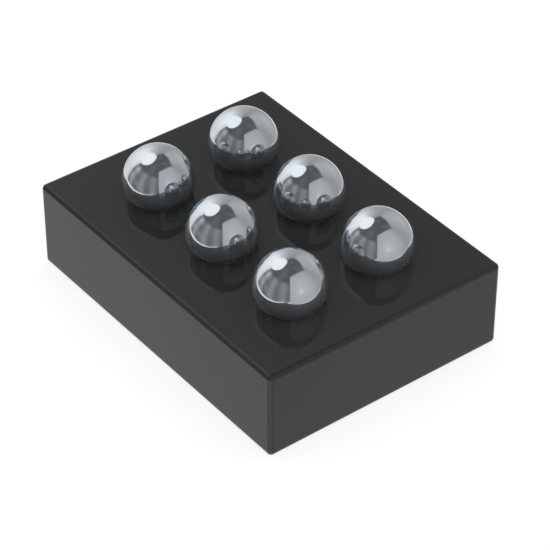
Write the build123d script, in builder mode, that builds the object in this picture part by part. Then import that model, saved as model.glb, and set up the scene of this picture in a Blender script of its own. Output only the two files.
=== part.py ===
from build123d import *
import os
from math import copysign, radians, sqrt, tan

# A comparator chip in a wafer-level chip-scale package: the die itself, its films
# and copper, and six solder balls. It lies on its back with the balls upwards.
# Millimetres, +Z up. The origin is the middle of the back, where the chip rests.
# X runs along the long side and Y along the short side.

# The body
body_length = 1.774
body_width = 1.313
edge_round = 0.0235
coating_thickness = 0.025
silicon_thickness = 0.400
passivation_thickness = 0.004
lower_dielectric_thickness = 0.008
copper_thickness = 0.008
cover_over_copper = 0.010

# The ball array: three rows along X, two balls to a row along Y
ball_pitch = 0.500
row_letters = "abc"
column_digits = "12"
ball_diameter = 0.340
ball_standoff = 0.243

# The under-bump pads: metal cups in the openings of the upper dielectric
cup_metal = 0.003
rim_lap = 0.030
opening_slope = 60.0
landing_lap = 0.035

# The bond pads, in a line along each long side of the die
bond_pad_size = 0.070
bond_pad_thickness = 0.002
bond_pad_pitch = 0.380
bond_pad_inset = 0.090
window_lap = 0.006

# The copper between bond pad and landing pad
line_width = 0.040
line_lead = 0.090
via_width = 0.040
via_slope = 70.0
capture_lap = 0.014
octagon_sides = 8

# Heights of the faces where one piece meets the next, from the back upwards
die_back = coating_thickness
die_face = die_back + silicon_thickness
bond_pad_face = die_face + bond_pad_thickness
passivation_face = die_face + passivation_thickness
copper_back = passivation_face + lower_dielectric_thickness
copper_face = copper_back + copper_thickness
body_face = copper_face + cover_over_copper

# The ball is a sphere cut off where it wets the rim of its under-bump pad
rim_face = body_face + cup_metal
ball_radius = ball_diameter / 2
ball_centre = body_face + ball_standoff - ball_radius
foot_radius = sqrt(ball_radius**2 - (ball_centre - rim_face) ** 2)

# Radii worked out from the foot of the ball inwards and from the via outwards
cover_slant = cover_over_copper / tan(radians(opening_slope))
opening_radius = foot_radius - rim_lap
floor_radius = opening_radius - cover_slant
landing_radius = floor_radius + landing_lap
cup_inset = cup_metal * tan(radians(opening_slope / 2))
cup_mouth = opening_radius - cup_inset
cup_floor = floor_radius - cup_inset
cup_face = copper_face + cup_metal
via_slant = (copper_back - bond_pad_face) / tan(radians(via_slope))
via_foot = via_width / 2
via_mouth = via_foot + via_slant
capture_radius = via_mouth + capture_lap
window_size = bond_pad_size - 2 * window_lap


def named_places(along_x, along_y):
    """The six places of an array, by name: a letter along X and a digit along Y."""
    return {
        letter + digit: (along_x * (row - 1), along_y * (column - 0.5))
        for row, letter in enumerate(row_letters)
        for column, digit in enumerate(column_digits)
    }


ball_places = named_places(ball_pitch, ball_pitch)
bond_pad_places = named_places(bond_pad_pitch, body_width - 2 * bond_pad_inset)


def finish(builder, name):
    """Label a finished piece and write its file."""
    builder.part.label = name
    export_step(builder.part, f"parts/{name}.step")


def fill_body(low, high):
    """Fill the piece being built with the body's rounded form between two heights."""
    with BuildSketch(Plane.XY.offset(low)) as slab:
        Rectangle(body_length, body_width)
    extrude(slab.sketch, amount=high - low)
    add(body_form.part, mode=Mode.INTERSECT)


def octagon(flat_radius):
    """An octagon with its flats on X and Y, as vias and the pads over them are drawn."""
    RegularPolygon(flat_radius, octagon_sides, major_radius=False, rotation=180 / octagon_sides)


def upright_plane(centre):
    """An upright plane through a place on the array."""
    return Plane(origin=(*centre, 0), x_dir=(1, 0, 0), z_dir=(0, -1, 0))


def upright_axis(centre):
    """The upright axis through a place on the array."""
    return Axis(origin=(*centre, 0), direction=(0, 0, 1))


os.makedirs("parts", exist_ok=True)

# The outer form that the films and the die share
with BuildPart() as body_form:
    with BuildSketch():
        Rectangle(body_length, body_width)
    extrude(amount=body_face)
    fillet(body_form.edges(), radius=edge_round)

# Backside coating: the black film that the chip rests on
with BuildPart() as backside_coating:
    fill_body(0, die_back)
finish(backside_coating, "backside_coating")

# Silicon die
with BuildPart() as silicon_die:
    fill_body(die_back, die_face)
finish(silicon_die, "silicon_die")

# Bond pads, one for each ball
bond_pads = {}
for place, centre in bond_pad_places.items():
    with BuildPart() as bond_pad:
        with BuildSketch(Plane.XY.offset(die_face)):
            with Locations(centre):
                Rectangle(bond_pad_size, bond_pad_size)
        extrude(amount=bond_pad_thickness)
    finish(bond_pad, f"bond_pad_{place}")
    bond_pads[place] = bond_pad.part

# Passivation: it laps over the rim of each bond pad and leaves a window
with BuildPart() as passivation:
    fill_body(die_face, passivation_face)
    for bond_pad in bond_pads.values():
        add(bond_pad, mode=Mode.SUBTRACT)
    with BuildSketch(Plane.XY.offset(bond_pad_face)):
        with Locations(*bond_pad_places.values()):
            Rectangle(window_size, window_size)
    extrude(amount=passivation_face - bond_pad_face, mode=Mode.SUBTRACT)
finish(passivation, "passivation")

# Redistribution traces: via plug, capture pad, line and landing pad in one piece of copper
traces = {}
for place, pad_centre in bond_pad_places.items():
    inward = copysign(line_lead, -pad_centre[1])
    bend = (pad_centre[0], pad_centre[1] + inward)
    with BuildPart() as redistribution_trace:
        with BuildSketch(Plane.XY.offset(bond_pad_face)):
            with Locations(pad_centre):
                octagon(via_foot)
        extrude(amount=copper_back - bond_pad_face)
        via_walls = faces().filter_by(Axis.Z, reverse=True)
        draft(via_walls, neutral_plane=Plane.XY.offset(bond_pad_face), angle=via_slope - 90)
        with BuildSketch(Plane.XY.offset(copper_back)):
            with BuildLine():
                Polyline(pad_centre, bend, ball_places[place])
            trace(line_width=line_width)
            with Locations(pad_centre):
                octagon(capture_radius)
            with Locations(ball_places[place]):
                Circle(landing_radius)
        extrude(amount=copper_thickness)
    finish(redistribution_trace, f"redistribution_trace_{place}")
    traces[place] = redistribution_trace.part

# Lower dielectric: it fills the passivation windows, all but the vias
with BuildPart() as lower_dielectric:
    fill_body(passivation_face, copper_back)
    with BuildSketch(Plane.XY.offset(bond_pad_face)):
        with Locations(*bond_pad_places.values()):
            Rectangle(window_size, window_size)
    extrude(amount=passivation_face - bond_pad_face)
    for copper in traces.values():
        add(copper, mode=Mode.SUBTRACT)
finish(lower_dielectric, "lower_dielectric")

# Upper dielectric: it covers the copper and opens, funnel-like, over each landing pad
with BuildPart() as upper_dielectric:
    fill_body(copper_back, body_face)
    for copper in traces.values():
        add(copper, mode=Mode.SUBTRACT)
    with BuildSketch(Plane.XY.offset(copper_face)):
        with Locations(*ball_places.values()):
            Circle(floor_radius)
    extrude(amount=cover_over_copper, taper=opening_slope - 90, mode=Mode.SUBTRACT)
finish(upper_dielectric, "upper_dielectric")

# Under-bump pads: a metal cup that lines its opening and laps over the edge
for place, centre in ball_places.items():
    with BuildPart() as under_bump_pad:
        with BuildSketch(upright_plane(centre)):
            with BuildLine():
                Polyline(
                    (0, copper_face),
                    (floor_radius, copper_face),
                    (opening_radius, body_face),
                    (foot_radius, body_face),
                    (foot_radius, rim_face),
                    (cup_mouth, rim_face),
                    (cup_floor, cup_face),
                    (0, cup_face),
                    close=True,
                )
            make_face()
        revolve(axis=upright_axis(centre))
    finish(under_bump_pad, f"under_bump_pad_{place}")

# Solder balls: each fills its cup and swells to a sphere above the rim
for place, centre in ball_places.items():
    with BuildPart() as solder_ball:
        with BuildSketch(upright_plane(centre)):
            with BuildLine():
                foot = Polyline(
                    (0, cup_face),
                    (cup_floor, cup_face),
                    (cup_mouth, rim_face),
                    (foot_radius, rim_face),
                )
                swell = ThreePointArc(foot @ 1, (ball_radius, ball_centre), (0, ball_centre + ball_radius))
                Line(swell @ 1, foot @ 0)
            make_face()
        revolve(axis=upright_axis(centre))
    finish(solder_ball, f"solder_ball_{place}")
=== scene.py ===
"""A comparator chip in a wafer-level package, dressed for its picture.

The chip lies on its back with its six solder balls upwards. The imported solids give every
place and size. The die and its films keep their solids and get a finish each, and the
balls and the metal cups under them are drawn again as fine surfaces of revolution.

The studio is a white floor under plain soft light, with a dome of pale and dark walls
round it. The mirror-bright balls and the glossy black faces show that dome.
"""

import logging
from dataclasses import dataclass
from enum import Enum
from math import cos, pi, radians, sin, sqrt, tan

import bpy
import numpy as np
from mathutils import Matrix, Vector


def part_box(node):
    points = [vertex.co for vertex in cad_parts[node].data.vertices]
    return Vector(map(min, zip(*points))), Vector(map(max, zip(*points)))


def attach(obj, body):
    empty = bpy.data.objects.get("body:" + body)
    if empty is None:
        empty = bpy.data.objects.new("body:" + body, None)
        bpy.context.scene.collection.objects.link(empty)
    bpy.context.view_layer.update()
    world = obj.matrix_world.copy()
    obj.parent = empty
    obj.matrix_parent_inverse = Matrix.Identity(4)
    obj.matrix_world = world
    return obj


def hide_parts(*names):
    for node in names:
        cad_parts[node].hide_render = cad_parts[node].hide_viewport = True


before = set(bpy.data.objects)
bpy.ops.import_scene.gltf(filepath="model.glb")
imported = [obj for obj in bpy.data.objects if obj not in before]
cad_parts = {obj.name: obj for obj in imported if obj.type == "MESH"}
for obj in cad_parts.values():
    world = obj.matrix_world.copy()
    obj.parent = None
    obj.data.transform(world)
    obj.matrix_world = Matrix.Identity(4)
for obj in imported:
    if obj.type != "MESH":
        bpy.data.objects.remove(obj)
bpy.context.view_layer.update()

LOG = logging.getLogger("comparator_chip")

# Metres to a millimetre and to a nanometre, millimetres to a metre, degrees to a radian
MM = 1e-3
NANOMETRE = 1e-9
PER_MM = 1e3
PER_RADIAN = 180 / pi

# Side of the square picture, in pixels
PICTURE_SIDE = 550

# A scale or a stretch that is the same along X, Y and Z
EVEN = (1.0, 1.0, 1.0)

# The curve from a display's levels to light: straight near black and a power above that
WHITE_LEVEL = 255
STRAIGHT_END = 0.04045
STRAIGHT_SLOPE = 12.92
CURVE_OFFSET = 0.055
CURVE_POWER = 2.4

# Which sockets of a Mix node blend two colours
MIX_FACTOR = 0
MIX_FIRST = 6
MIX_SECOND = 7
MIX_RESULT = 2

# Octaves of finer noise in a finish's drifts of colour, its grain and its waves
DRIFT_OCTAVES = 2.0
GRAIN_OCTAVES = 3.0
WAVE_OCTAVES = 1.0

# How much the drifts ruffle the painted shading, a colour that changes steadily along X
PAINTED_SHADE_RUFFLE = 0.15

# The specks of a filled film: how far one reaches and how soft its edge is, in cells
SPECK_REACH = 0.3
SPECK_EDGE = 0.2

# How much longer than they are high the streaks of a saw are
SAW_STREAK = 30.0

BALL_PLACES = ("a1", "a2", "b1", "b2", "c1", "c2")

# The steps at which the profiles of a ball and of its cup have corners
BALL_CORNERS = (1, 2, 3)
CUP_CORNERS = (1, 2, 3, 4, 5, 6)

Colour = tuple[float, float, float]
Profile = list[tuple[float, float]]
Paint = Colour | bpy.types.NodeSocket


def grey(level: float) -> Colour:
    """Turn a display's level into a plain grey in the linear light that shaders work in.

    Args:
        level: 0 for black and 255 for white; a light may have more.

    Returns:
        The grey, linear, 1 for white.
    """
    share = level / WHITE_LEVEL
    if share <= STRAIGHT_END:
        light = share / STRAIGHT_SLOPE
    else:
        light = ((share + CURVE_OFFSET) / (1 + CURVE_OFFSET)) ** CURVE_POWER
    return (light, light, light)


def opaque(level: float) -> tuple[float, float, float, float]:
    """Give a plain grey of a linear level, as a colour socket holds it."""
    return (level, level, level, 1.0)


class Field:
    """One number that varies over a surface, on which plain arithmetic makes further nodes."""

    def __init__(self, tree: bpy.types.NodeTree, socket: bpy.types.NodeSocket) -> None:
        """Hold the output socket that carries the number, and its tree."""
        self.tree = tree
        self.socket = socket

    def work(self, operation: str, other: "Field | float | None" = None) -> "Field":
        """Add one Math node.

        Args:
            operation: the node's operation.
            other: its second operand, where it has one.

        Returns:
            The field that the node gives.
        """
        node = self.tree.nodes.new("ShaderNodeMath")
        node.operation = operation
        self.tree.links.new(self.socket, node.inputs[0])
        if isinstance(other, Field):
            self.tree.links.new(other.socket, node.inputs[1])
        elif other is not None:
            node.inputs[1].default_value = other
        return Field(self.tree, node.outputs[0])

    def __add__(self, other: "Field | float") -> "Field":
        """Add a field or a number."""
        return self.work("ADD", other)

    def __sub__(self, other: "Field | float") -> "Field":
        """Take a field or a number away."""
        return self.work("SUBTRACT", other)

    def __mul__(self, other: "Field | float") -> "Field":
        """Multiply by a field or a number."""
        return self.work("MULTIPLY", other)

    def rise(self, softness: float) -> "Field":
        """Turn a signed distance into a mask: 0 below zero and 1 above it, with a smooth edge.

        Args:
            softness: width of the edge, half of it on each side of zero.

        Returns:
            The mask, a smoothstep of the distance.
        """
        node = self.tree.nodes.new("ShaderNodeMapRange")
        node.interpolation_type = "SMOOTHSTEP"
        self.tree.links.new(self.socket, node.inputs["Value"])
        node.inputs["From Min"].default_value = -softness / 2
        node.inputs["From Max"].default_value = softness / 2
        return Field(self.tree, node.outputs["Result"])

    def bell(self, width: float) -> "Field":
        """Turn a distance into a bell curve, exp(-d^2 / 2w^2), of the given width."""
        return (self * self * (-0.5 / width**2)).work("EXPONENT")

    def blend(self, low: Paint, high: Paint) -> bpy.types.NodeSocket:
        """Blend two colours by this field as the mask.

        Args:
            low: the colour, or the socket of one, where the mask is 0.
            high: the same where the mask is 1.

        Returns:
            The socket of the blended colour.
        """
        node = self.tree.nodes.new("ShaderNodeMix")
        node.data_type = "RGBA"
        self.tree.links.new(self.socket, node.inputs[MIX_FACTOR])
        for side, colour in ((MIX_FIRST, low), (MIX_SECOND, high)):
            if isinstance(colour, tuple):
                node.inputs[side].default_value = (*colour, 1.0)
            else:
                self.tree.links.new(colour, node.inputs[side])
        return node.outputs[MIX_RESULT]


def empty_tree(name: str) -> tuple[bpy.types.Material, bpy.types.NodeTree, bpy.types.Node]:
    """Make a material that holds nothing but its output node.

    Args:
        name: the material's name.

    Returns:
        The material, its node tree and its output node.
    """
    material = bpy.data.materials.new(name)
    material.use_nodes = True
    tree = material.node_tree
    tree.nodes.clear()
    return material, tree, tree.nodes.new("ShaderNodeOutputMaterial")


def object_places(
    tree: bpy.types.NodeTree, scale: tuple[float, float, float]
) -> bpy.types.NodeSocket:
    """Give the place on the piece in object coordinates, scaled.

    Args:
        tree: the node tree to add to.
        scale: what each coordinate, in metres, is multiplied by.

    Returns:
        The socket of the scaled place.
    """
    coordinates = tree.nodes.new("ShaderNodeTexCoord")
    mapping = tree.nodes.new("ShaderNodeMapping")
    mapping.inputs["Scale"].default_value = scale
    tree.links.new(coordinates.outputs["Object"], mapping.inputs["Vector"])
    return mapping.outputs["Vector"]


def coordinate(tree: bpy.types.NodeTree, axis: str) -> Field:
    """Give one object coordinate of the place on the piece, in millimetres.

    Args:
        tree: the node tree to add to.
        axis: X, Y or Z.

    Returns:
        The coordinate along that axis.
    """
    split = tree.nodes.new("ShaderNodeSeparateXYZ")
    tree.links.new(object_places(tree, (PER_MM,) * 3), split.inputs["Vector"])
    return Field(tree, split.outputs[axis])


def noise(
    tree: bpy.types.NodeTree, size: float, stretch: tuple[float, float, float], detail: float
) -> Field:
    """Add a noise whose lumps have a given size on the piece.

    Args:
        tree: the node tree to add to.
        size: size of a lump, in millimetres.
        stretch: what the lump is longer by along X, Y and Z.
        detail: octaves of finer noise on top.

    Returns:
        The noise, from 0 to 1 round a half.
    """
    node = tree.nodes.new("ShaderNodeTexNoise")
    scale = tuple(PER_MM / (size * longer) for longer in stretch)
    tree.links.new(object_places(tree, scale), node.inputs["Vector"])
    node.inputs["Scale"].default_value = 1.0
    node.inputs["Detail"].default_value = detail
    return Field(tree, node.outputs[0])


def grains(tree: bpy.types.NodeTree, size: float) -> tuple[Field, Field]:
    """Add cells of a given size on the piece, as the grains of a cast metal are.

    Args:
        tree: the node tree to add to.
        size: size of a cell, in millimetres.

    Returns:
        A number that is constant over each cell, and the distance from the cell's middle.
    """
    node = tree.nodes.new("ShaderNodeTexVoronoi")
    tree.links.new(object_places(tree, (PER_MM / size,) * 3), node.inputs["Vector"])
    node.inputs["Scale"].default_value = 1.0
    parts = tree.nodes.new("ShaderNodeSeparateColor")
    tree.links.new(node.outputs["Color"], parts.inputs["Color"])
    return Field(tree, parts.outputs["Red"]), Field(tree, node.outputs["Distance"])


def relief(tree: bpy.types.NodeTree, height: Field, depth: float, surface: bpy.types.Node) -> None:
    """Let a field raise a surface's shading normal.

    Args:
        tree: the node tree to add to.
        height: the relief, from 0 to 1.
        depth: how high 1 stands over 0, in metres.
        surface: the shader that gets the normal.
    """
    bump = tree.nodes.new("ShaderNodeBump")
    bump.inputs["Distance"].default_value = depth
    tree.links.new(height.socket, bump.inputs["Height"])
    tree.links.new(bump.outputs["Normal"], surface.inputs["Normal"])


class Grain(Enum):
    """What breaks up the gloss of a dark surface."""

    FLOWED = "flowed"
    SPECKLED = "speckled"
    SAWN = "sawn"

    def stretch(self) -> tuple[float, float, float]:
        """Give how much longer the grain is along X, Y and Z: saw streaks lie level."""
        return (SAW_STREAK, SAW_STREAK, 1.0) if self is Grain.SAWN else EVEN


@dataclass(frozen=True)
class DarkGloss:
    """A black film or black stone under its own gloss.

    Attributes:
        name: the material's name.
        shade: colour under the gloss, linear; where the colour leans, the darker end of the
            painted shading.
        cloud_and_lit_end: the colour that it drifts to, linear; where the colour leans, the
            lighter end of the painted shading.
        cloud_size: size of the drifts, in millimetres.
        roughness: of the gloss.
        swing: how much the grain adds to the roughness.
        grain: what the grain is.
        grain_size: its size, in millimetres.
        grain_depth: its relief, in metres.
        ior: refractive index, which sets how strong the gloss is.
        painted_shade_lean: how fast the colour changes from one to the other along X, as a share
        for each millimetre. This is painted shading: the film is darker towards -X and lighter
        towards +X, in place of the light that falls on it. Where it does, the drifts only ruffle
        that change.
    """

    name: str
    shade: Colour
    cloud_and_lit_end: Colour
    cloud_size: float
    roughness: float
    swing: float
    grain: Grain
    grain_size: float
    grain_depth: float
    ior: float = 1.26
    painted_shade_lean: float = 0.0

    def drift_and_painted_shade(self, tree: bpy.types.NodeTree) -> Field:
        """Give how far the colour has changed from its shade to its other colour: by drifts, and
        where it leans, by painted shading.

        Where the colour leans, the painted shading is even in the middle of the chip, where X is 0,
        darker towards -X and lighter towards +X.

        Args:
            tree: the node tree to add to.

        Returns:
            The share of the other colour, from 0 to 1: the noise, or where it leans, a slope of
            painted shading along X with a little of the noise on it.
        """
        lumps = noise(tree, self.cloud_size, EVEN, DRIFT_OCTAVES)
        if not self.painted_shade_lean:
            return lumps
        # Painted shading: darker towards -X and lighter towards +X, in place of the light on the
        # film
        slope = coordinate(tree, "X") * self.painted_shade_lean
        return slope + lumps * PAINTED_SHADE_RUFFLE + (1.0 - PAINTED_SHADE_RUFFLE) / 2

    def material(self) -> bpy.types.Material:
        """Build the material.

        Returns:
            A dielectric over a dark ground, with the grain in roughness and relief.
        """
        material, tree, output = empty_tree(self.name)
        surface = tree.nodes.new("ShaderNodeBsdfPrincipled")
        tree.links.new(surface.outputs["BSDF"], output.inputs["Surface"])
        surface.inputs["IOR"].default_value = self.ior
        tree.links.new(self.drift_and_painted_shade(tree).blend(self.shade, self.cloud_and_lit_end), surface.inputs["Base Color"])
        if self.grain is Grain.SPECKLED:
            _, reach = grains(tree, self.grain_size)
            grain = (reach * -1.0 + SPECK_REACH).rise(SPECK_EDGE)
        else:
            grain = noise(tree, self.grain_size, self.grain.stretch(), GRAIN_OCTAVES)
        tree.links.new((grain * self.swing + self.roughness).socket, surface.inputs["Roughness"])
        relief(tree, grain, self.grain_depth, surface)
        return material


@dataclass(frozen=True)
class Tinning:
    """The solder that creeps over a metal it wets.

    Attributes:
        height: how high up the piece it starts, in metres.
        fringe: width of its ragged edge, in metres.
        colour: its colour, linear.
    """

    height: float
    fringe: float
    colour: Colour

    def over(self, tree: bpy.types.NodeTree, bare: bpy.types.NodeSocket) -> bpy.types.NodeSocket:
        """Lay the solder over the bare metal, from its height upwards.

        Args:
            tree: the node tree to add to.
            bare: colour of the bare metal.

        Returns:
            The colour with the solder.
        """
        above = coordinate(tree, "Z") - self.height * PER_MM
        return above.rise(self.fringe * PER_MM).blend(bare, self.colour)


@dataclass(frozen=True)
class BrightMetal:
    """A metal with the fine grain of its making.

    Attributes:
        name: the material's name.
        colour: its colour, linear.
        other: the colour of its odd grains, linear.
        grain_size: size of a grain, in millimetres.
        roughness: of the surface.
        swing: how much a grain may add to the roughness.
        wave_size: size of the soft waves in the surface, in millimetres.
        wave_depth: their relief, in metres.
        metallic: 1, or a little less where a dull skin lies on the metal.
        edge: how bright it is seen at a glancing angle, 1 for clean bare metal.
        tinned: where another metal has wetted it, or nothing.
    """

    name: str
    colour: Colour
    other: Colour
    grain_size: float
    roughness: float
    swing: float
    wave_size: float
    wave_depth: float
    metallic: float = 1.0
    edge: float = 1.0
    tinned: Tinning | None = None

    def material(self) -> bpy.types.Material:
        """Build the material.

        Returns:
            A metal whose grains differ a little in colour and gloss, on soft waves.
        """
        material, tree, output = empty_tree(self.name)
        surface = tree.nodes.new("ShaderNodeBsdfPrincipled")
        tree.links.new(surface.outputs["BSDF"], output.inputs["Surface"])
        surface.inputs["Metallic"].default_value = self.metallic
        surface.inputs["Specular Tint"].default_value = opaque(self.edge)
        grain, _ = grains(tree, self.grain_size)
        colour = grain.blend(self.colour, self.other)
        if self.tinned:
            colour = self.tinned.over(tree, colour)
        tree.links.new(colour, surface.inputs["Base Color"])
        tree.links.new((grain * self.swing + self.roughness).socket, surface.inputs["Roughness"])
        waves = noise(tree, self.wave_size, EVEN, WAVE_OCTAVES)
        relief(tree, waves, self.wave_depth, surface)
        return material


COATING = DarkGloss(
    name="back_film_black",
    shade=(0.0228, 0.0226, 0.0224),
    cloud_and_lit_end=(0.0242, 0.0240, 0.0238),
    cloud_size=0.12,
    roughness=0.09,
    swing=0.10,
    grain=Grain.SPECKLED,
    grain_size=0.009,
    grain_depth=6 * NANOMETRE,
)
SAWN_SILICON = DarkGloss(
    name="silicon_sawn_black",
    shade=(0.0226, 0.0224, 0.0222),
    cloud_and_lit_end=(0.0240, 0.0238, 0.0236),
    cloud_size=0.20,
    roughness=0.06,
    swing=0.06,
    grain=Grain.SAWN,
    grain_size=0.008,
    grain_depth=6 * NANOMETRE,
)
NITRIDE = DarkGloss(
    name="nitride_glassy_black",
    shade=(0.0226, 0.0224, 0.0222),
    cloud_and_lit_end=(0.0234, 0.0232, 0.0230),
    cloud_size=0.15,
    roughness=0.05,
    swing=0.03,
    grain=Grain.FLOWED,
    grain_size=0.020,
    grain_depth=2 * NANOMETRE,
)
# The polymer films' colour leans along X: painted shading, darker towards -X and lighter towards
# +X, in place of how the light on the top face changes across it
CURED_POLYMER = DarkGloss(
    name="polymer_glossy_black",
    shade=(0.0194, 0.0192, 0.0190),
    cloud_and_lit_end=(0.0264, 0.0262, 0.0260),
    cloud_size=0.25,
    roughness=0.05,
    swing=0.04,
    grain=Grain.FLOWED,
    grain_size=0.030,
    grain_depth=2 * NANOMETRE,
    ior=1.29,
    painted_shade_lean=0.50,
)
SOLDER = BrightMetal(
    name="solder_mirror",
    colour=(0.502, 0.538, 0.574),
    other=(0.492, 0.528, 0.564),
    grain_size=0.022,
    roughness=0.07,
    swing=0.03,
    wave_size=0.10,
    wave_depth=15 * NANOMETRE,
    metallic=0.90,
    edge=0.80,
)
CUP_COPPER = BrightMetal(
    name="copper_cup",
    colour=(0.72, 0.43, 0.28),
    other=(0.64, 0.37, 0.24),
    grain_size=0.006,
    roughness=0.28,
    swing=0.14,
    wave_size=0.02,
    wave_depth=60 * NANOMETRE,
    tinned=Tinning(height=0.4515 * MM, fringe=0.004 * MM, colour=(0.46, 0.49, 0.52)),
)
TRACE_COPPER = BrightMetal(
    name="copper_plated",
    colour=(0.72, 0.43, 0.28),
    other=(0.66, 0.38, 0.25),
    grain_size=0.004,
    roughness=0.32,
    swing=0.16,
    wave_size=0.03,
    wave_depth=80 * NANOMETRE,
)
PAD_METAL = BrightMetal(
    name="pad_aluminium",
    colour=(0.80, 0.81, 0.82),
    other=(0.74, 0.75, 0.76),
    grain_size=0.003,
    roughness=0.26,
    swing=0.16,
    wave_size=0.012,
    wave_depth=50 * NANOMETRE,
)


def turned(
    name: str, profile: Profile, centre: Vector, around: int, corners: tuple[int, ...]
) -> bpy.types.Object:
    """Turn a profile about an upright axis into a closed mesh.

    A point at the profile's step t and at angle a is (cx + r(t) cos a, cy + r(t) sin a,
    h(t)). The profile starts and ends on the axis, where each end is one vertex, joined to
    its ring by triangles, and runs so that the metal is on its left. Rings at a corner of
    the profile are marked sharp.

    Args:
        name: the piece's name.
        profile: radii and heights, in metres, from the axis at the bottom to the axis at the top.
        centre: the axis, of which X and Y count.
        around: how many vertices a ring has.
        corners: the profile's steps that are corners.

    Returns:
        The piece, linked into the scene, its place in its mesh.
    """
    radii, heights = np.array(profile[1:-1]).T
    rings = len(radii)
    angles = np.arange(around) * (2 * pi / around)
    x = centre.x + radii[:, None] * np.cos(angles)
    y = centre.y + radii[:, None] * np.sin(angles)
    z = np.broadcast_to(heights[:, None], x.shape)
    ends = [(centre.x, centre.y, profile[0][1]), (centre.x, centre.y, profile[-1][1])]
    places = np.concatenate([np.stack([x, y, z], axis=-1).reshape(-1, 3), ends])
    bottom, top = rings * around, rings * around + 1

    here = np.arange(around)
    after = (here + 1) % around
    ring = np.arange(rings - 1)[:, None] * around
    walls = np.stack(
        [ring + here, ring + after, ring + after + around, ring + here + around], axis=-1
    )
    last = (rings - 1) * around
    low_cap = np.stack([np.full(around, bottom), after, here], axis=-1)
    high_cap = np.stack([np.full(around, top), last + here, last + after], axis=-1)
    faces = walls.reshape(-1, 4).tolist() + low_cap.tolist() + high_cap.tolist()

    mesh = bpy.data.meshes.new(name)
    mesh.from_pydata(places.tolist(), [], faces)
    mesh.polygons.foreach_set("use_smooth", np.ones(len(faces), dtype=bool))
    pairs = np.empty(len(mesh.edges) * 2, dtype=np.int32)
    mesh.edges.foreach_get("vertices", pairs)
    owner = pairs.reshape(-1, 2) // around
    along_ring = (owner[:, 0] == owner[:, 1]) & (pairs.reshape(-1, 2).max(axis=1) < bottom)
    sharp = along_ring & np.isin(owner[:, 0], np.array(corners) - 1)
    mesh.attributes.new("sharp_edge", "BOOLEAN", "EDGE").data.foreach_set("value", sharp)
    mesh.update()
    piece = bpy.data.objects.new(name, mesh)
    bpy.context.scene.collection.objects.link(piece)
    return piece


@dataclass
class BumpStack:
    """A solder ball seated in its metal cup, in the funnel-shaped opening of the top film.

    The solids give the heights and the outer radii. What their boxes don't show is here.

    Attributes:
        place: the ball's place in the array, a letter and a digit.
        ball_radius: radius of the ball's round part, in metres.
        rim_lap: how far the cup's rim laps outwards over the film.
        opening_slope: slope of the opening's wall, in degrees.
        around: vertices to a ring.
        arc_steps: steps from the foot of the ball to its top.
    """

    place: str
    ball_radius: float = 0.170 * MM
    rim_lap: float = 0.030 * MM
    opening_slope: float = 60.0
    around: int = 192
    arc_steps: int = 96

    def __post_init__(self) -> None:
        """Read the heights and the rim's radius off the solids, and work out the cup's radii."""
        ball_low, ball_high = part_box(f"solder_ball_{self.place}")
        cup_low, cup_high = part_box(f"under_bump_pad_{self.place}")
        self.centre = (cup_low + cup_high) / 2
        self.apex = ball_high.z
        self.cup_face = ball_low.z
        self.copper_face = cup_low.z
        self.rim_face = cup_high.z
        metal = self.cup_face - self.copper_face
        self.film_face = self.rim_face - metal
        rise = self.rim_face - (self.apex - self.ball_radius)
        self.foot_radius = sqrt(self.ball_radius**2 - rise**2)
        slope = radians(self.opening_slope)
        self.opening_radius = self.foot_radius - self.rim_lap
        self.floor_radius = self.opening_radius - (self.film_face - self.copper_face) / tan(slope)
        inset = metal * tan(slope / 2)
        self.cup_mouth = self.opening_radius - inset
        self.cup_floor = self.floor_radius - inset

    def ball_profile(self) -> Profile:
        """Run from the middle of the cup's floor up its wall, over the rim and round to the top.

        Returns:
            The profile. Its round part is the circle of the ball's radius about its centre.
        """
        middle = self.apex - self.ball_radius
        foot = np.arctan2(self.rim_face - middle, self.foot_radius)
        turn = np.linspace(foot, pi / 2, self.arc_steps + 1)[:-1]
        arc = zip(self.ball_radius * np.cos(turn), middle + self.ball_radius * np.sin(turn))
        seat = [
            (0.0, self.cup_face),
            (self.cup_floor, self.cup_face),
            (self.cup_mouth, self.rim_face),
        ]
        return seat + [(float(r), float(h)) for r, h in arc] + [(0.0, self.apex)]

    def cup_profile(self) -> Profile:
        """Run under the cup, up its outside, over its rim and back down its inside.

        Returns:
            The profile, straight from corner to corner.
        """
        return [
            (0.0, self.copper_face),
            (self.floor_radius, self.copper_face),
            (self.opening_radius, self.film_face),
            (self.foot_radius, self.film_face),
            (self.foot_radius, self.rim_face),
            (self.cup_mouth, self.rim_face),
            (self.cup_floor, self.cup_face),
            (0.0, self.cup_face),
        ]

    def build(self, solder: bpy.types.Material, copper: bpy.types.Material) -> None:
        """Make the ball and the cup, dress them and let them stand for their solids.

        Args:
            solder: material of the ball.
            copper: material of the cup.
        """
        ball = turned(
            f"ball_{self.place}", self.ball_profile(), self.centre, self.around, BALL_CORNERS
        )
        ball.data.materials.append(solder)
        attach(ball, "root")
        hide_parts(f"solder_ball_{self.place}")
        cup = turned(
            f"cup_{self.place}", self.cup_profile(), self.centre, self.around, CUP_CORNERS
        )
        cup.data.materials.append(copper)
        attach(cup, "root")
        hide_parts(f"under_bump_pad_{self.place}")
        faces = len(ball.data.polygons), len(cup.data.polygons)
        LOG.info("bump %s: ball of %d faces, cup of %d", self.place, *faces)


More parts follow.
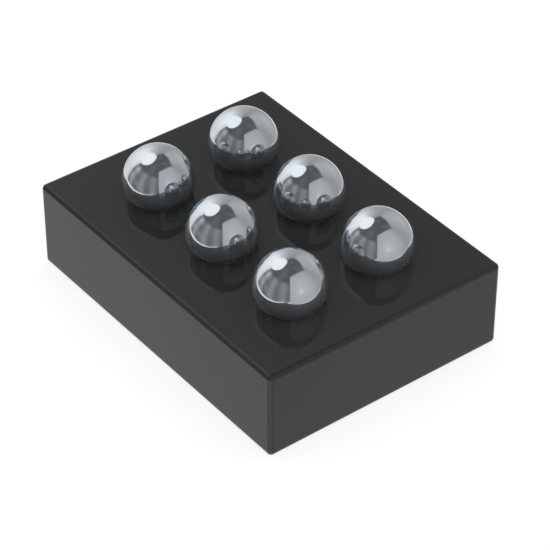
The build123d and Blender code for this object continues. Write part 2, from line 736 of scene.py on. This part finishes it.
@dataclass(frozen=True)
class BodyLayers:
    """The body: the die between its coating and the films, and the metal inside them.

    Attributes:
        coating, silicon, nitride, polymer, copper, pad: the finish of each.
    """

    coating: DarkGloss = COATING
    silicon: DarkGloss = SAWN_SILICON
    nitride: DarkGloss = NITRIDE
    polymer: DarkGloss = CURED_POLYMER
    copper: BrightMetal = TRACE_COPPER
    pad: BrightMetal = PAD_METAL

    def dress(self) -> None:
        """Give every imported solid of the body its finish."""
        finishes = {
            self.coating: ["backside_coating"],
            self.silicon: ["silicon_die"],
            self.nitride: ["passivation"],
            self.polymer: ["lower_dielectric", "upper_dielectric"],
            self.copper: [f"redistribution_trace_{place}" for place in BALL_PLACES],
            self.pad: [f"bond_pad_{place}" for place in BALL_PLACES],
        }
        for finish, nodes in finishes.items():
            material = finish.material()
            for node in nodes:
                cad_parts[node].material_slots[0].material = material
                LOG.info("%s: %s", node, finish.name)


class Outlook:
    """The directions in which the studio's walls are seen from the chip."""

    def __init__(self, tree: bpy.types.NodeTree) -> None:
        """Turn the place on the dome into a direction of length one."""
        node = tree.nodes.new("ShaderNodeVectorMath")
        node.operation = "NORMALIZE"
        tree.links.new(object_places(tree, EVEN), node.inputs[0])
        self.tree = tree
        self.way = node.outputs["Vector"]

    def along(self, x: float, y: float, z: float) -> Field:
        """Give how far the direction reaches along a fixed one."""
        node = self.tree.nodes.new("ShaderNodeVectorMath")
        node.operation = "DOT_PRODUCT"
        self.tree.links.new(self.way, node.inputs[0])
        node.inputs[1].default_value = (x, y, z)
        return Field(self.tree, node.outputs["Value"])

    def azimuth_from(self, azimuth: float) -> Field:
        """Give the azimuth in degrees, counted from a given one, from -180 to 180."""
        turn = radians(azimuth)
        ahead = self.along(cos(turn), sin(turn), 0.0)
        aside = self.along(-sin(turn), cos(turn), 0.0)
        return aside.work("ARCTAN2", ahead) * PER_RADIAN

    def reach(self) -> Field:
        """Give how far the direction reaches sideways, in any azimuth."""
        height = self.along(0.0, 0.0, 1.0)
        return (height * height * -1.0 + 1.0).work("SQRT")

    def elevation(self) -> Field:
        """Give the elevation in degrees."""
        return self.along(0.0, 0.0, 1.0).work("ARCSINE") * PER_RADIAN


@dataclass(frozen=True)
class Glow:
    """A soft round patch or an upright stripe, paler or darker than what it lies on.

    Attributes:
        azimuth, elevation: its middle, in degrees; a stripe has no elevation.
        width: how far from its middle it still has six tenths of its strength, in degrees.
        colour: its colour at full strength, linear.
        strength: how much of that colour shows in its middle.
    """

    azimuth: float
    elevation: float | None
    width: float
    colour: Colour
    strength: float

    def paint(self, outlook: Outlook, under: Paint) -> bpy.types.NodeSocket:
        """Paint the patch or the stripe over what is there.

        Args:
            outlook: the directions.
            under: the colour so far.

        Returns:
            The colour with the patch or the stripe.
        """
        mask = outlook.azimuth_from(self.azimuth).bell(self.width)
        if self.elevation is not None:
            mask = mask * (outlook.elevation() - self.elevation).bell(self.width)
        return (mask * self.strength).blend(under, self.colour)


@dataclass(frozen=True)
class Wall:
    """A wall of the studio: a stretch of azimuth between two level edges.

    A level edge on a flat wall that faces azimuth f is seen, from the middle, in the
    directions whose height is rise times their reach towards f. On a wall that is bent
    round the middle it is seen where the height is rise times the reach in any azimuth.

    Attributes:
        start, end: azimuths of its sides, in degrees.
        start_soft, end_soft: softness of the sides, in degrees.
        faces: azimuth that it faces.
        rise, drop: height of its top edge and depth of its bottom edge, over its distance.
        bend: how far its top is bent round the middle, from 0 to 1.
        top_soft, bottom_soft: softness of those edges.
        high, low: its colour near the top and near the ground, linear.
        lights: soft patches and stripes on it.
        halfway, change: the elevation at which its two colours are even, and the span in
            which they change, in degrees.
    """

    start: float
    end: float
    start_soft: float
    end_soft: float
    faces: float
    rise: float
    drop: float
    top_soft: float
    bottom_soft: float
    high: Colour
    low: Colour
    bend: float = 0.0
    lights: tuple[Glow, ...] = ()
    halfway: float = 20.0
    change: float = 50.0

    def paint(self, outlook: Outlook, under: Paint) -> bpy.types.NodeSocket:
        """Paint the wall over what is there.

        Args:
            outlook: the directions.
            under: the colour so far.

        Returns:
            The colour with the wall.
        """
        half = (self.end - self.start) / 2
        aside = outlook.azimuth_from((self.start + self.end) / 2)
        facing = radians(self.faces)
        flat = self.rise * (1.0 - self.bend)
        bent = self.rise * self.bend
        top = outlook.along(flat * cos(facing), flat * sin(facing), -1.0) + outlook.reach() * bent
        bottom = outlook.along(self.drop * cos(facing), self.drop * sin(facing), 1.0)
        mask = (aside + half).rise(self.start_soft) * (aside * -1.0 + half).rise(self.end_soft)
        mask = mask * top.rise(self.top_soft) * bottom.rise(self.bottom_soft)
        lowness = (outlook.elevation() * -1.0 + self.halfway).rise(self.change)
        colour = lowness.blend(self.high, self.low)
        for light in self.lights:
            colour = light.paint(outlook, colour)
        return mask.blend(under, colour)


@dataclass(frozen=True)
class Lamp:
    """The studio's lamp: a bright panel with well rounded corners.

    Its outline is the set of directions where |u|^p + |v|^p is 1, with u and v the angles
    across and up from its middle over its half sizes.

    Attributes:
        azimuth, elevation: its middle, in degrees.
        half_width, half_height: half sizes, in degrees.
        squareness: the power p, 2 for an ellipse and more for squarer corners.
        softness: width of its edge, as a share of its half size.
        colour: its colour, linear.
    """

    azimuth: float
    elevation: float
    half_width: float
    half_height: float
    squareness: float
    softness: float
    colour: Colour

    def paint(self, outlook: Outlook, under: Paint) -> bpy.types.NodeSocket:
        """Paint the lamp over what is there.

        Args:
            outlook: the directions.
            under: the colour so far.

        Returns:
            The colour with the lamp.
        """
        turn, lift = radians(self.azimuth), radians(self.elevation)
        towards = Vector((cos(turn) * cos(lift), sin(turn) * cos(lift), sin(lift)))
        across = Vector((-sin(turn), cos(turn), 0.0))
        upwards = towards.cross(across)
        ahead = outlook.along(*towards)
        reach = None
        for axis, half in ((across, self.half_width), (upwards, self.half_height)):
            angle = outlook.along(*axis).work("ARCTAN2", ahead) * (PER_RADIAN / half)
            part = angle.work("ABSOLUTE").work("POWER", self.squareness)
            reach = part if reach is None else reach + part
        inside = reach.work("POWER", 1 / self.squareness) * -1.0 + 1.0
        return inside.rise(self.softness).blend(under, self.colour)


@dataclass(frozen=True)
class Ground:
    """The studio's pale ground, as it shows below the walls.

    Attributes:
        elevation: where it ends behind the walls, in degrees.
        softness: width of that edge, in degrees.
        colour: its colour, linear.
        lights: soft patches on it.
    """

    elevation: float
    softness: float
    colour: Colour
    lights: tuple[Glow, ...] = ()

    def paint(self, outlook: Outlook, under: Paint) -> bpy.types.NodeSocket:
        """Paint the ground over what is there.

        Args:
            outlook: the directions.
            under: the colour so far.

        Returns:
            The colour with the ground.
        """
        colour = self.colour
        for light in self.lights:
            colour = light.paint(outlook, colour)
        mask = (outlook.elevation() * -1.0 + self.elevation).rise(self.softness)
        return mask.blend(under, colour)


# The studio's parts. A glow gives its azimuth, elevation, width, colour and strength.
CEILING_LIGHTS = (
    Glow(283, 63, 14, grey(82), 1.0),
    Glow(50, 73, 11, grey(80), 1.0),
    Glow(128, 77, 8, grey(80), 1.0),
)
DARK_WALL = Wall(
    start=206,
    end=326,
    start_soft=2,
    end_soft=2,
    faces=274,
    rise=0.96,
    drop=0.274,
    bend=0.7,
    top_soft=0.26,
    bottom_soft=0.04,
    high=grey(84),
    low=grey(72),
    lights=(
        Glow(231, None, 6.5, grey(163), 0.54),
        Glow(232, 33, 6.0, grey(190), 0.56),
        Glow(215, 8, 5.5, grey(170), 0.42),
        Glow(229, 11, 5.5, grey(190), 0.28),
        Glow(246, 33, 5.0, grey(140), 0.25),
        Glow(249, 6, 5.5, grey(130), 0.50),
        Glow(259, 1, 6.0, grey(150), 0.20),
        Glow(268, None, 8.5, grey(154), 0.55),
        Glow(304, None, 9.0, grey(152), 0.48),
        Glow(296, -15, 3.0, grey(217), 0.40),
        Glow(305, -13, 3.0, grey(217), 0.60),
    ),
)
# The dim corners in which two walls meet, painted on both
CORNERS = (Glow(57, None, 12.5, grey(120), 0.55), Glow(129, None, 5.7, grey(125), 0.52))
GREY_WALL = Wall(
    start=112,
    end=180,
    start_soft=2,
    end_soft=2,
    faces=180,
    rise=2.15,
    drop=0.32,
    bend=0.1,
    top_soft=0.20,
    bottom_soft=0.25,
    high=grey(151),
    low=grey(163),
    lights=(Glow(138, 54, 6.5, grey(120), 0.42), *CORNERS),
)
WHITE_WALL = Wall(
    start=157,
    end=214.5,
    start_soft=36,
    end_soft=10,
    faces=192,
    rise=1.65,
    drop=0.20,
    top_soft=0.05,
    bottom_soft=0.15,
    high=grey(236),
    low=grey(218),
    lights=(
        Glow(158, 46, 8, grey(150), 0.60),
        Glow(208, None, 4, grey(190), 0.42),
        Glow(190, -1, 8, grey(190), 0.35),
    ),
)
BACK_WALL = Wall(
    start=57,
    end=126,
    start_soft=2,
    end_soft=8,
    faces=90,
    rise=1.62,
    drop=0.24,
    bend=0.4,
    top_soft=0.30,
    bottom_soft=0.14,
    high=grey(161),
    low=grey(157),
    lights=(Glow(101, 16, 10, grey(190), 0.38), *CORNERS),
)
RIGHT_WALL = Wall(
    start=-36.4,
    end=62,
    start_soft=1.5,
    end_soft=6,
    faces=0,
    rise=2.07,
    drop=0.35,
    bend=0.05,
    top_soft=0.24,
    bottom_soft=0.10,
    high=grey(162),
    low=grey(162),
    lights=(Glow(357, 20, 18, grey(200), 0.30), Glow(356, 16, 5, grey(220), 0.50), *CORNERS),
)
OVAL_LAMP = Lamp(198.2, 59.8, 19.2, 17.8, squareness=2.4, softness=0.12, colour=grey(239))
PALE_GROUND = Ground(
    elevation=0,
    softness=2,
    colour=grey(217),
    lights=(
        Glow(226, -14, 9, grey(245), 0.70),
        Glow(92, -16, 16, grey(158), 0.75),
        Glow(42, -17, 8, grey(163), 0.75),
        Glow(218, -38, 20, grey(200), 0.60),
        Glow(314, -42, 24, grey(280), 1.0),
    ),
)


@dataclass
class Dome:
    """The walls, lamp and ground round the chip, as the shiny surfaces see them.

    Attributes:
        radius: radius of the dome, in metres.
        middle: its middle, in metres; the far walls stand off more than the near ones.
        ceiling: colour overhead, linear.
        light: how strongly its painted colours shine.
        around, upwards: how finely it is divided.
    """

    radius: float = 11.0 * MM
    middle: tuple[float, float, float] = (-1.8 * MM, 1.3 * MM, 0.0)
    ceiling: Colour = grey(60)
    light: float = 1.90
    around: int = 128
    upwards: int = 64

    def material(self) -> bpy.types.Material:
        """Paint the studio on the dome, from the ceiling to what stands in front of it.

        Returns:
            A material that shines in the painted colours.
        """
        material, tree, output = empty_tree("studio_walls")
        material.cycles.emission_sampling = "NONE"
        outlook = Outlook(tree)
        colour = self.ceiling
        walls = (DARK_WALL, GREY_WALL, WHITE_WALL, OVAL_LAMP, BACK_WALL, RIGHT_WALL)
        for thing in (*CEILING_LIGHTS, PALE_GROUND, *walls):
            colour = thing.paint(outlook, colour)
        shine = tree.nodes.new("ShaderNodeEmission")
        shine.inputs["Strength"].default_value = self.light
        tree.links.new(colour, shine.inputs["Color"])
        tree.links.new(shine.outputs["Emission"], output.inputs["Surface"])
        return material

    def build(self) -> None:
        """Make the dome, a sphere that only mirror rays see."""
        turn = np.linspace(-pi / 2, pi / 2, self.upwards + 1)
        profile = [(self.radius * cos(t), self.radius * sin(t)) for t in turn]
        dome = turned("studio_dome", profile, Vector(self.middle), self.around, ())
        dome.data.materials.append(self.material())
        dome.visible_camera = False
        dome.visible_diffuse = False
        dome.visible_shadow = False
        dome.visible_volume_scatter = False
        LOG.info("dome of radius %.1f mm", self.radius / MM)


@dataclass
class Studio:
    """The white floor, the soft light and the camera.

    Attributes:
        floor_radius, floor_sides: radius of the round floor, in metres, and its sides.
        floor_diffuse: how much light the floor scatters, which is how deep a shadow gets.
        floor_lift: what the camera sees of the floor apart from that.
        sky_light: strength of the light from all round.
        lamp_size, lamp_height: side and height of the soft lamp overhead, in metres.
        lamp_light: radiance of that lamp.
        azimuth, elevation, roll: the camera's direction, in degrees.
        distance: from the camera to where it looks, in metres.
        aim_height, aim_right, aim_up: where it looks, in metres.
        focal_pixels: focal length in pixels of the picture.
        sensor: width of the camera's sensor, in millimetres.
        nearest, farthest: the distances between which the camera sees, in metres.
    """

    floor_radius: float = 60.0 * MM
    floor_sides: int = 96
    floor_diffuse: float = 0.30
    floor_lift: float = 0.785
    sky_light: float = 0.90
    lamp_size: float = 10.0 * MM
    lamp_height: float = 14.0 * MM
    lamp_light: float = 0.30
    azimuth: float = 52.39
    elevation: float = 38.33
    roll: float = 0.07
    distance: float = 11.6865 * MM
    aim_height: float = 0.2273 * MM
    aim_right: float = 0.0418 * MM
    aim_up: float = -0.0604 * MM
    focal_pixels: float = 2507.8
    sensor: float = 36.0
    nearest: float = 0.1 * MM
    farthest: float = 1000 * MM

    def floor(self) -> None:
        """Lay the floor: a pale disc that the camera sees as white, with the chip's shadow."""
        material, tree, output = empty_tree("studio_floor")
        scatter = tree.nodes.new("ShaderNodeBsdfDiffuse")
        scatter.inputs["Color"].default_value = opaque(self.floor_diffuse)
        lift = tree.nodes.new("ShaderNodeEmission")
        lift.inputs["Strength"].default_value = self.floor_lift
        both = tree.nodes.new("ShaderNodeAddShader")
        tree.links.new(scatter.outputs["BSDF"], both.inputs[0])
        tree.links.new(lift.outputs["Emission"], both.inputs[1])
        tree.links.new(both.outputs["Shader"], output.inputs["Surface"])
        material.cycles.emission_sampling = "NONE"
        angles = np.linspace(0, 2 * pi, self.floor_sides, endpoint=False)
        level = np.zeros(self.floor_sides)
        rim = np.stack([np.cos(angles), np.sin(angles), level], axis=-1) * self.floor_radius
        mesh = bpy.data.meshes.new("studio_floor")
        mesh.from_pydata(rim.tolist(), [], [list(range(self.floor_sides))])
        disc = bpy.data.objects.new("studio_floor", mesh)
        disc.data.materials.append(material)
        disc.visible_glossy = False
        bpy.context.scene.collection.objects.link(disc)
        LOG.info("floor of radius %.0f mm", self.floor_radius / MM)

    def light(self) -> None:
        """Light the chip from all round and, softly, from overhead."""
        world = bpy.data.worlds.new("studio_light")
        world.use_nodes = True
        tree = world.node_tree
        tree.nodes.clear()
        output = tree.nodes.new("ShaderNodeOutputWorld")
        background = tree.nodes.new("ShaderNodeBackground")
        background.inputs["Color"].default_value = opaque(1.0)
        path = tree.nodes.new("ShaderNodeLightPath")
        seen = Field(tree, path.outputs["Is Camera Ray"])
        strength = seen * (1.0 - self.sky_light) + self.sky_light
        tree.links.new(strength.socket, background.inputs["Strength"])
        tree.links.new(background.outputs["Background"], output.inputs["Surface"])
        bpy.context.scene.world = world

        panel = bpy.data.lights.new("soft_lamp", "AREA")
        panel.shape = "DISK"
        panel.size = self.lamp_size
        area = pi * (self.lamp_size / 2) ** 2
        panel.energy = self.lamp_light * area * pi
        lamp = bpy.data.objects.new("soft_lamp", panel)
        lamp.location = (0.0, 0.0, self.lamp_height)
        lamp.visible_camera = False
        lamp.visible_glossy = False
        bpy.context.scene.collection.objects.link(lamp)
        LOG.info("light from all round and from a lamp %.0f mm up", self.lamp_height / MM)

    def camera(self) -> None:
        """Put the camera where the photograph was taken from."""
        turn, lift = radians(self.azimuth), radians(self.elevation)
        back = Vector((sin(turn) * cos(lift), -cos(turn) * cos(lift), sin(lift)))
        right = Vector((cos(turn), sin(turn), 0.0))
        up = back.cross(right)
        aim = Vector((0.0, 0.0, self.aim_height)) + right * self.aim_right + up * self.aim_up
        lens = bpy.data.cameras.new("camera")
        lens.sensor_width = self.sensor
        lens.lens = self.sensor * self.focal_pixels / PICTURE_SIDE
        lens.clip_start = self.nearest
        lens.clip_end = self.farthest
        camera = bpy.data.objects.new("camera", lens)
        axes = Matrix((right, up, back)).transposed()
        rolled = axes @ Matrix.Rotation(radians(self.roll), 3, "Z")
        camera.matrix_world = Matrix.Translation(aim + back * self.distance) @ rolled.to_4x4()
        bpy.context.scene.collection.objects.link(camera)
        bpy.context.scene.camera = camera
        LOG.info("camera at azimuth %.1f and elevation %.1f", self.azimuth, self.elevation)

    def build(self) -> None:
        """Set up the floor, the light, the camera and how colours are shown."""
        bpy.context.scene.view_settings.view_transform = "Standard"
        self.floor()
        self.light()
        self.camera()


def main() -> None:
    """Build the chip's pieces and its studio in order."""
    logging.basicConfig(level=logging.INFO, format="%(message)s")
    BodyLayers().dress()
    solder = SOLDER.material()
    copper = CUP_COPPER.material()
    for place in BALL_PLACES:
        BumpStack(place).build(solder, copper)
    Dome().build()
    Studio().build()


if __name__ == "__main__":
    main()
